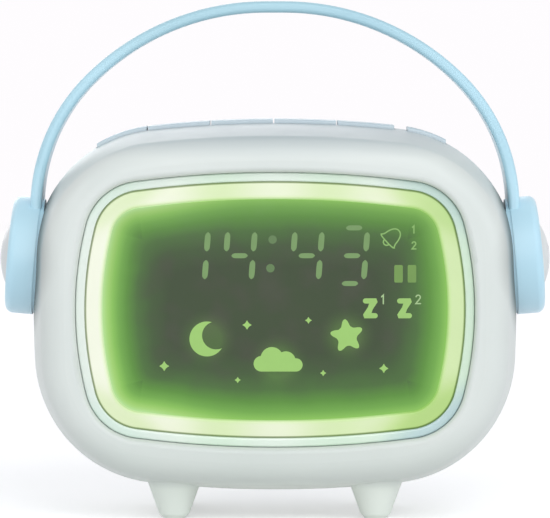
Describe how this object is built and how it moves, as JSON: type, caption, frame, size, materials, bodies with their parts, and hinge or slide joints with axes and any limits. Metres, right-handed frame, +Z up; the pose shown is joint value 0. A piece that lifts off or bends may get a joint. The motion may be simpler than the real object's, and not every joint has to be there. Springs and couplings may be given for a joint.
{
  "type": "alarm clock with night light",
  "caption": "Rounded table alarm clock with a glowing ring round a dark display, a row of top keys, short feet and a swing-back carry handle.",
  "frame": {"origin": "on the table, under the middle of the body", "axes": "+X to the right seen from the front, -Y towards the viewer, +Z up"},
  "size_m": [0.1444, 0.058, 0.1343],
  "materials": {
    "shell_plastic": "smooth satin moulded plastic",
    "trim_plastic": "glossy white moulded plastic",
    "glow_diffuser": "milky translucent plastic lit from behind",
    "tinted_window": "dark tinted gloss plastic",
    "white_plastic": "white moulded plastic",
    "board_laminate": "green solder mask",
    "lamp": "clear lamp package",
    "steel": "zinc plated steel",
    "black_plastic": "black moulded plastic",
    "key_plastic": "pale blue-grey satin plastic",
    "handle_plastic": "light blue satin plastic",
    "cap_plastic": "off-white satin plastic",
    "rubber": "soft black rubber",
    "paper_cone": "pressed paper cone",
    "cell_wrap": "blue shrink wrap on a steel can",
    "wire_insulation": "soft wire insulation",
    "ribbon_cable": "flat cable insulation"
  },
  "bodies": {
    "case": {"front_shell": "shell_plastic", "rear_shell": "shell_plastic", "lens_trim": "trim_plastic", "light_ring": "glow_diffuser", "display_window": "tinted_window", "segment_diffuser": "glow_diffuser", "light_box": "white_plastic", "light_board": "board_laminate", "ring_leds": "lamp", "segment_leds": "lamp", "light_box_screws": "steel", "light_board_screws": "steel", "board_standoffs": "white_plastic", "main_board": "board_laminate", "main_board_chips": "black_plastic", "main_board_screws": "steel", "link_header": "black_plastic", "key_board": "board_laminate", "key_board_screws": "steel", "key_switches": "black_plastic", "pivot_bush_left": "white_plastic", "pivot_bush_right": "white_plastic", "speaker_frame": "steel", "speaker_cone": "paper_cone", "speaker_magnet": "steel", "speaker_screws": "steel", "battery_cell": "cell_wrap", "battery_cradle": "white_plastic", "usb_board": "board_laminate", "usb_socket": "steel", "battery_lead": "wire_insulation", "speaker_lead": "wire_insulation", "key_ribbon": "ribbon_cable", "case_screws": "steel"},
    "handle": {"carry_handle": "handle_plastic", "ear_cap_left": "cap_plastic", "ear_cap_right": "cap_plastic", "friction_rings": "rubber", "pivot_washers": "steel", "pivot_screws": "steel"},
    "key_1_body": {"key_1": "key_plastic", "stem_1": "white_plastic"},
    "key_2_body": {"key_2": "key_plastic", "stem_2": "white_plastic"},
    "key_3_body": {"key_3": "key_plastic", "stem_3": "white_plastic"},
    "key_4_body": {"key_4": "key_plastic", "stem_4": "white_plastic"},
    "key_5_body": {"key_5": "key_plastic", "stem_5": "white_plastic"},
    "key_6_body": {"key_6": "key_plastic", "stem_6": "white_plastic"}
  },
  "joints": [
    {"name": "handle_swing", "type": "hinge", "parent": "case", "child": "handle", "pos_m": [0, 0, 0.0674], "axis": [-1, 0, 0], "range_deg": [0, 90]},
    {"name": "key_1_press", "type": "slide", "parent": "case", "child": "key_1_body", "axis": [0, 0, -1], "range_m": [0, 0.0008], "stiffness_N_per_m": 250},
    {"name": "key_2_press", "type": "slide", "parent": "case", "child": "key_2_body", "axis": [0, 0, -1], "range_m": [0, 0.0008], "stiffness_N_per_m": 250},
    {"name": "key_3_press", "type": "slide", "parent": "case", "child": "key_3_body", "axis": [0, 0, -1], "range_m": [0, 0.0008], "stiffness_N_per_m": 250},
    {"name": "key_4_press", "type": "slide", "parent": "case", "child": "key_4_body", "axis": [0, 0, -1], "range_m": [0, 0.0008], "stiffness_N_per_m": 250},
    {"name": "key_5_press", "type": "slide", "parent": "case", "child": "key_5_body", "axis": [0, 0, -1], "range_m": [0, 0.0008], "stiffness_N_per_m": 250},
    {"name": "key_6_press", "type": "slide", "parent": "case", "child": "key_6_body", "axis": [0, 0, -1], "range_m": [0, 0.0008], "stiffness_N_per_m": 250}
  ]
}
